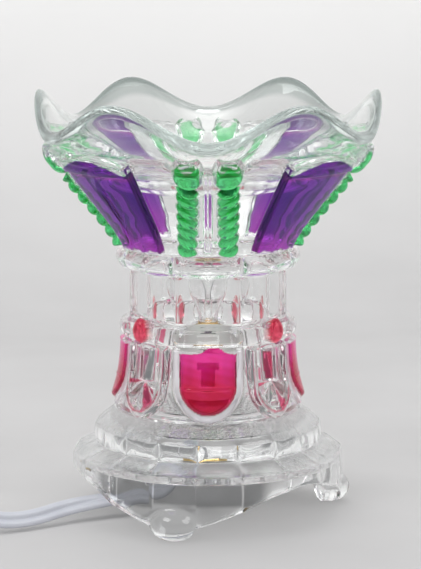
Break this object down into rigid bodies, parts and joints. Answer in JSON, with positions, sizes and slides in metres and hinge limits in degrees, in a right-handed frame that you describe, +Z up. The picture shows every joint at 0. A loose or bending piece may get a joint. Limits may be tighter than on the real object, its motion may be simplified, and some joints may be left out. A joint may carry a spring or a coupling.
{
  "type": "wax melt warmer",
  "caption": "Electric wax melt warmer in pressed glass: ruffled dish on a stained flared shade, stepped faceted base with a lamp inside, on a flat cord with dimmer and plug.",
  "frame": {"origin": "on the floor under the lamp's axis", "axes": "+Z up, -Y towards the front, +X to the right seen from the front"},
  "size_m": [0.2989, 0.126, 0.1556],
  "materials": {
    "clear_glass": "clear, fire-polished",
    "pink_stain": "stained pink to red",
    "red_stain": "stained red",
    "purple_stain": "stained purple",
    "green_stain": "stained green",
    "phenolic": "moulded",
    "porcelain": "glazed",
    "brass": "bright",
    "steel": "zinc plated",
    "solder": "dull",
    "tungsten": "drawn wire",
    "bulb_clear": "clear, thin",
    "rubber": "matt",
    "cord_white": "soft vinyl",
    "tie": "matt",
    "case_white": "moulded",
    "board": "circuit board",
    "dial": "moulded",
    "plug_white": "moulded"
  },
  "bodies": {
    "base": {"glass_base": "clear_glass", "lamp_holder": "porcelain", "socket_shell": "brass", "socket_contact": "brass", "terminal_screws": "brass", "leads": "cord_white", "rubber_washers": "rubber", "clamp_washer": "steel", "nipple_nut": "brass", "nipple": "steel", "cord": "cord_white", "cord_tail": "cord_white", "cord_coil": "cord_white", "cord_end": "cord_white", "coil_tie": "tie", "dimmer_bottom": "case_white", "dimmer_top": "case_white", "dimmer_screws": "steel", "dimmer_board": "board", "plug_body": "plug_white", "plug_blades": "brass"},
    "shade": {"glass_shade": "clear_glass", "clear_relief": "clear_glass", "pink_petals": "pink_stain", "red_beads": "red_stain", "purple_panels": "purple_stain", "green_columns": "green_stain"},
    "bulb": {"bulb_glass": "bulb_clear", "bulb_cap": "brass", "bulb_insulator": "phenolic", "bulb_contact": "solder", "bulb_stem": "bulb_clear", "bulb_filament": "tungsten"},
    "dish": {"wax_dish": "clear_glass"},
    "dial": {"dimmer_dial": "dial"}
  },
  "joints": [
    {"name": "shade_lift", "type": "slide", "parent": "base", "child": "shade", "axis": [0, 0, 1], "range_m": [0, 0.1]},
    {"name": "dish_lift", "type": "slide", "parent": "shade", "child": "dish", "axis": [0, 0, 1], "range_m": [0, 0.06]},
    {"name": "bulb_out", "type": "slide", "parent": "base", "child": "bulb", "axis": [0, 0, 1], "range_m": [0, 0.016]},
    {"name": "dial_turn", "type": "hinge", "parent": "base", "child": "dial", "pos_m": [-0.125, -0.04, 0.0154], "axis": [0, 0, 1], "range_deg": [0, 270]}
  ]
}
